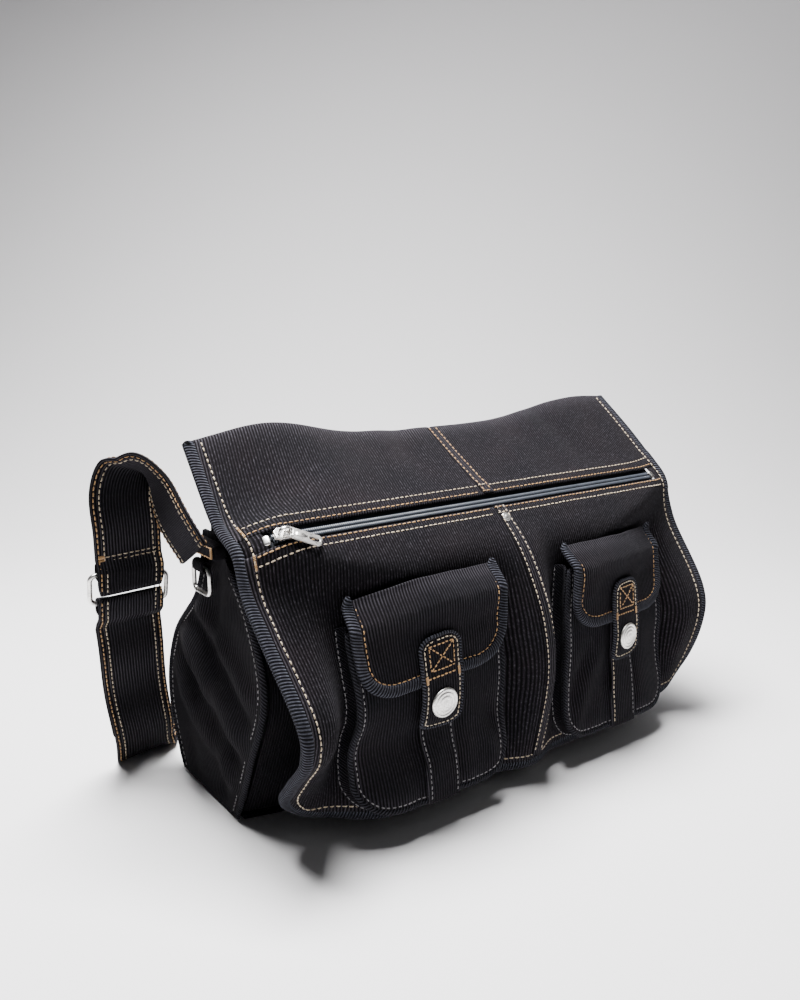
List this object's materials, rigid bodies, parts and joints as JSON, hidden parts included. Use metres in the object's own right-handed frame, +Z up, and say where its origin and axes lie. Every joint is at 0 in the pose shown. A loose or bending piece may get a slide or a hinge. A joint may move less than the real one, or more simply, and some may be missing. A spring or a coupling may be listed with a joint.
{
  "type": "messenger bag",
  "caption": "Soft shoulder bag with a wide fold-over flap, a straight zip across it, bellows pockets with snap-tab lids, and a long webbing strap joined by a wire ring.",
  "frame": {"origin": "centre of the flat bottom panel, on the surface the bag stands on", "axes": "+X along the bag's width, -Y to the front, where the flap and pockets are, +Z up"},
  "size_m": [0.4967, 0.3023, 0.2679],
  "materials": {
    "corduroy": "black fine-wale cotton corduroy",
    "lining": "black woven lining",
    "zip_tape": "woven zip tape",
    "zip_coil": "slate blue nylon coil",
    "board": "stiffener board",
    "nickel": "satin nickel plate"
  },
  "bodies": {
    "body": {"base_board": "board", "base_panel": "corduroy", "body_back_panel": "corduroy", "body_front_panel": "corduroy", "body_lining": "lining", "gusset_left": "corduroy", "gusset_right": "corduroy", "ring_loop_left": "corduroy", "ring_loop_right": "corduroy", "strap_anchor_left": "corduroy", "strap_anchor_right": "corduroy"},
    "flap": {"flap_binding": "corduroy", "flap_lining": "lining", "flap_lower_left": "corduroy", "flap_lower_right": "corduroy", "flap_yoke_left": "corduroy", "flap_yoke_right": "corduroy", "zip_tape_lower": "zip_tape", "zip_tape_upper": "zip_tape", "zip_coil_lower": "zip_coil", "zip_coil_upper": "zip_coil", "zip_stop_left": "nickel", "zip_stop_right": "nickel", "seam_rivet": "nickel", "pocket_left_bellows": "corduroy", "pocket_left_front": "corduroy", "pocket_left_strip": "corduroy", "pocket_left_snap_stud": "nickel", "pocket_right_bellows": "corduroy", "pocket_right_front": "corduroy", "pocket_right_strip": "corduroy", "pocket_right_snap_stud": "nickel"},
    "lid_left": {"pocket_left_lid": "corduroy", "pocket_left_lid_binding": "corduroy", "pocket_left_tab": "corduroy", "pocket_left_snap_cap": "nickel", "pocket_left_snap_socket": "nickel"},
    "lid_right": {"pocket_right_lid": "corduroy", "pocket_right_lid_binding": "corduroy", "pocket_right_tab": "corduroy", "pocket_right_snap_cap": "nickel", "pocket_right_snap_socket": "nickel"},
    "zip_slider": {"zip_slider": "nickel"},
    "zip_pull": {"zip_pull": "nickel"},
    "strap": {"strap_upper": "corduroy", "strap_ring": "nickel", "strap_fold_upper": "corduroy", "strap_fold_lower": "corduroy", "strap_main": "corduroy", "strap_tail": "corduroy"},
    "side_ring_left": {"side_ring_left": "nickel"},
    "side_ring_right": {"side_ring_right": "nickel"}
  },
  "joints": [
    {"name": "flap_open", "type": "hinge", "parent": "body", "child": "flap", "pos_m": [0, 0.0175, 0.245], "axis": [-1, 0, 0], "range_deg": [0, 180]},
    {"name": "pocket_flap_left_lift", "type": "hinge", "parent": "flap", "child": "lid_left", "pos_m": [-0.0864, -0.0911, 0.1667], "axis": [-0.993, 0.0845, -0.0825], "range_deg": [0, 100]},
    {"name": "pocket_flap_right_lift", "type": "hinge", "parent": "flap", "child": "lid_right", "pos_m": [0.0956, -0.0884, 0.1698], "axis": [-0.9913, -0.1285, 0.0275], "range_deg": [0, 100]},
    {"name": "zip_slide", "type": "slide", "parent": "flap", "child": "zip_slider", "axis": [1, 0, 0], "range_m": [0, 0.34]},
    {"name": "zip_pull_lift", "type": "hinge", "parent": "zip_slider", "child": "zip_pull", "pos_m": [-0.1721, -0.0635, 0.2074], "axis": [-0.5299, -0.6611, -0.5312], "range_deg": [0, 140]},
    {"name": "strap_swing", "type": "hinge", "parent": "body", "child": "strap", "pos_m": [0, -0.001, 0.186], "axis": [1, 0, 0], "range_deg": [0, 72]},
    {"name": "side_ring_left_swing", "type": "hinge", "parent": "body", "child": "side_ring_left", "pos_m": [-0.1936, 0.009, 0.172], "axis": [0, -1, 0], "range_deg": [-75, 0]},
    {"name": "side_ring_right_swing", "type": "hinge", "parent": "body", "child": "side_ring_right", "pos_m": [0.1936, 0.009, 0.172], "axis": [0, 1, 0], "range_deg": [-40, 0]}
  ]
}
